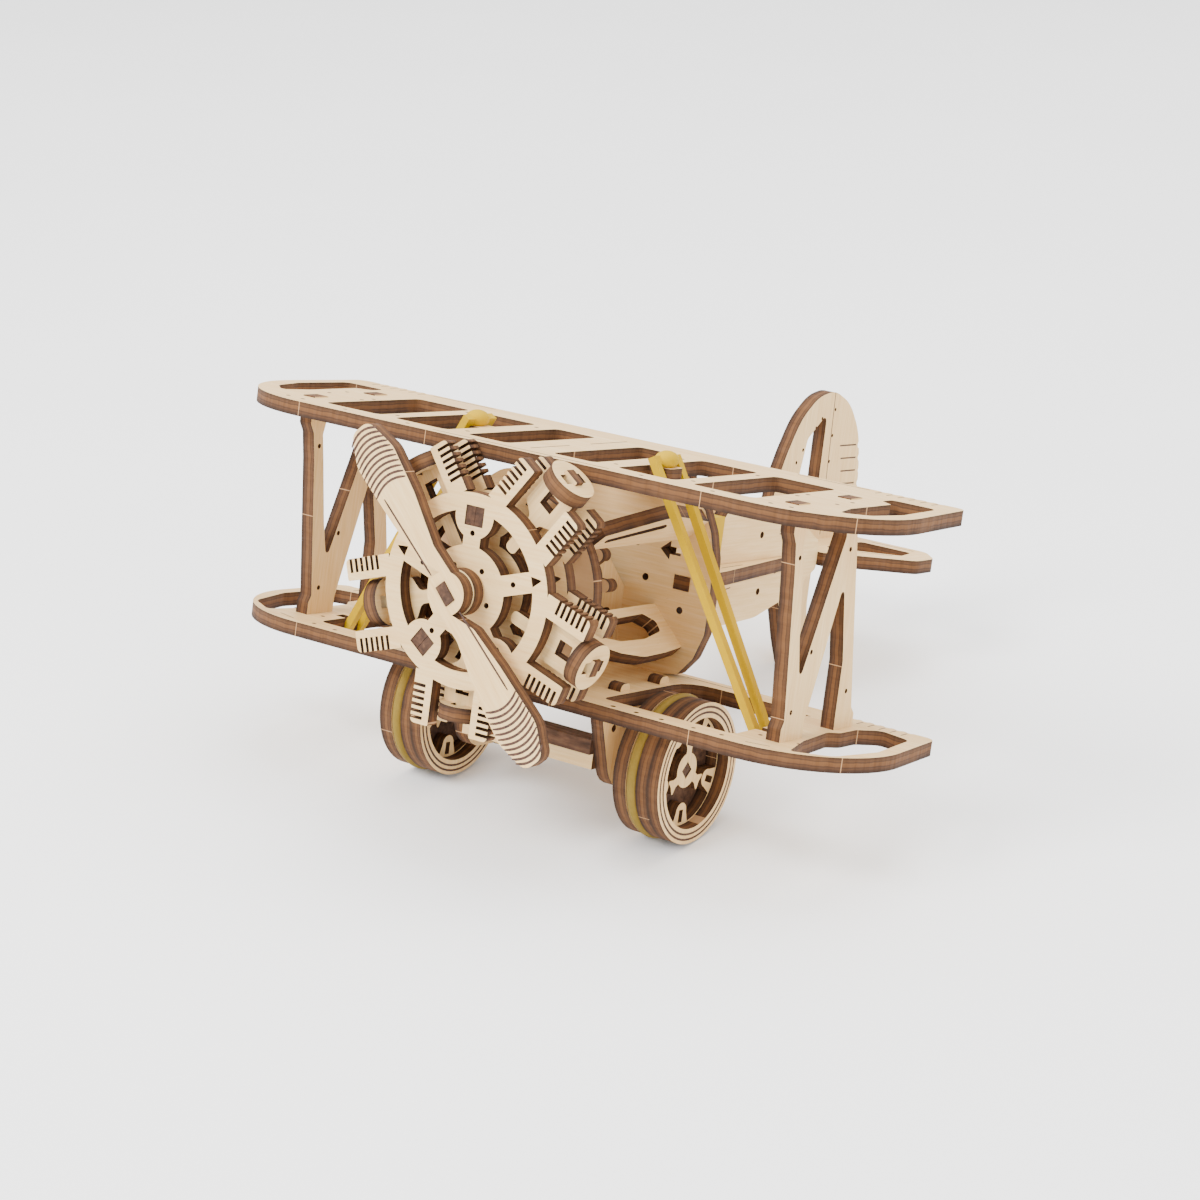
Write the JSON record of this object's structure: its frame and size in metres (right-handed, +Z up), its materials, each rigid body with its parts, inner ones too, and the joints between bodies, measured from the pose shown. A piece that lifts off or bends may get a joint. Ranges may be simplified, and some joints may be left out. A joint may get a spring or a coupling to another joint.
{
  "type": "biplane scale model",
  "caption": "Laser-cut plywood biplane kit with a radial engine; wheels turn the propeller through a belt and right-angle lobed gears, and the pistons slide.",
  "frame": {"origin": "on the ground under the middle of the standing model's outline", "axes": "+Z up; the nose points to -Y; +X is the aircraft's left as seen by a pilot facing the nose, which is right in the view along +Y; the airframe is pitched nose-up 13.3 degrees about X because it stands on its wheels and tail skid"},
  "size_m": [0.1536, 0.1619, 0.0851],
  "materials": {
    "birch_ply": "satin",
    "burnt_ply": "matte",
    "elastic": "satin",
    "khaki_band": "matte"
  },
  "bodies": {
    "airframe": {"upper_wing": "birch_ply", "lower_wing": "birch_ply", "strut_left": "birch_ply", "strut_right": "birch_ply", "body_frame": "birch_ply", "bearing_outer": "birch_ply", "bearing_inner": "birch_ply", "tail_side_left": "birch_ply", "tail_side_right": "birch_ply", "tail_plate": "birch_ply", "fin": "birch_ply", "tail_skid": "birch_ply", "firewall": "burnt_ply", "upper_fin_left": "birch_ply", "upper_fin_right": "birch_ply", "lower_fin_left": "birch_ply", "lower_fin_right": "birch_ply", "star_front": "birch_ply", "star_rear": "birch_ply", "engine_posts": "burnt_ply", "gear_leg_left": "birch_ply", "gear_leg_right": "birch_ply", "spreader": "burnt_ply", "spreader_web": "birch_ply", "drive_belt": "elastic", "band_left": "elastic", "band_right": "elastic", "tail_band": "elastic"},
    "wheelset": {"axle": "burnt_ply", "axle_pulley": "birch_ply", "wheel_inner_left": "birch_ply", "wheel_carrier_left": "burnt_ply", "tyre_band_left": "khaki_band", "wheel_rim_left": "birch_ply", "wheel_face_left": "birch_ply", "wheel_hub_left": "birch_ply", "wheel_inner_right": "birch_ply", "wheel_carrier_right": "burnt_ply", "tyre_band_right": "khaki_band", "wheel_rim_right": "birch_ply", "wheel_face_right": "birch_ply", "wheel_hub_right": "birch_ply"},
    "cross_drive": {"cross_shaft": "burnt_ply", "cross_gear": "birch_ply", "cross_pulley": "birch_ply"},
    "prop_drive": {"propeller": "birch_ply", "prop_spacer": "burnt_ply", "prop_shaft": "burnt_ply", "crank": "burnt_ply", "prop_gear": "birch_ply"},
    "piston_1_set": {"piston_1": "birch_ply", "crown_1": "birch_ply"},
    "piston_2_set": {"piston_2": "birch_ply", "crown_2": "birch_ply"},
    "piston_3_set": {"piston_3": "birch_ply", "crown_3": "birch_ply"},
    "piston_4_set": {"piston_4": "birch_ply", "crown_4": "birch_ply"},
    "piston_5_set": {"piston_5": "birch_ply", "crown_5": "birch_ply"}
  },
  "joints": [
    {"name": "axle_spin", "type": "hinge", "parent": "airframe", "child": "wheelset", "pos_m": [0, -0.03836, 0.0149], "axis": [1, 0, 0], "continuous": true},
    {"name": "cross_spin", "type": "hinge", "parent": "airframe", "child": "cross_drive", "pos_m": [0, -0.02602, 0.04569], "axis": [1, 0, 0], "continuous": true},
    {"name": "prop_spin", "type": "hinge", "parent": "airframe", "child": "prop_drive", "pos_m": [0, -0.07266, 0.05671], "axis": [0, 0.9732, -0.23], "continuous": true},
    {"name": "piston_1_slide", "type": "slide", "parent": "airframe", "child": "piston_1_set", "axis": [0.5878, 0.1861, 0.7873], "range_m": [-0.0067, 0.0001]},
    {"name": "piston_2_slide", "type": "slide", "parent": "airframe", "child": "piston_2_set", "axis": [-0.5878, 0.1861, 0.7873], "range_m": [-0.00364, 0.00316]},
    {"name": "piston_3_slide", "type": "slide", "parent": "airframe", "child": "piston_3_set", "axis": [-0.9511, -0.0711, -0.3007], "range_m": [-0.00025, 0.00655]},
    {"name": "piston_4_slide", "type": "slide", "parent": "airframe", "child": "piston_4_set", "axis": [0, -0.23, -0.9732], "range_m": [-0.00121, 0.00559]},
    {"name": "piston_5_slide", "type": "slide", "parent": "airframe", "child": "piston_5_set", "axis": [0.9511, -0.0711, -0.3007], "range_m": [-0.0052, 0.0016]}
  ],
  "couplings": [
    {"joint": "cross_spin", "follows": "axle_spin", "ratio": 1},
    {"joint": "prop_spin", "follows": "axle_spin", "ratio": -0.625}
  ]
}
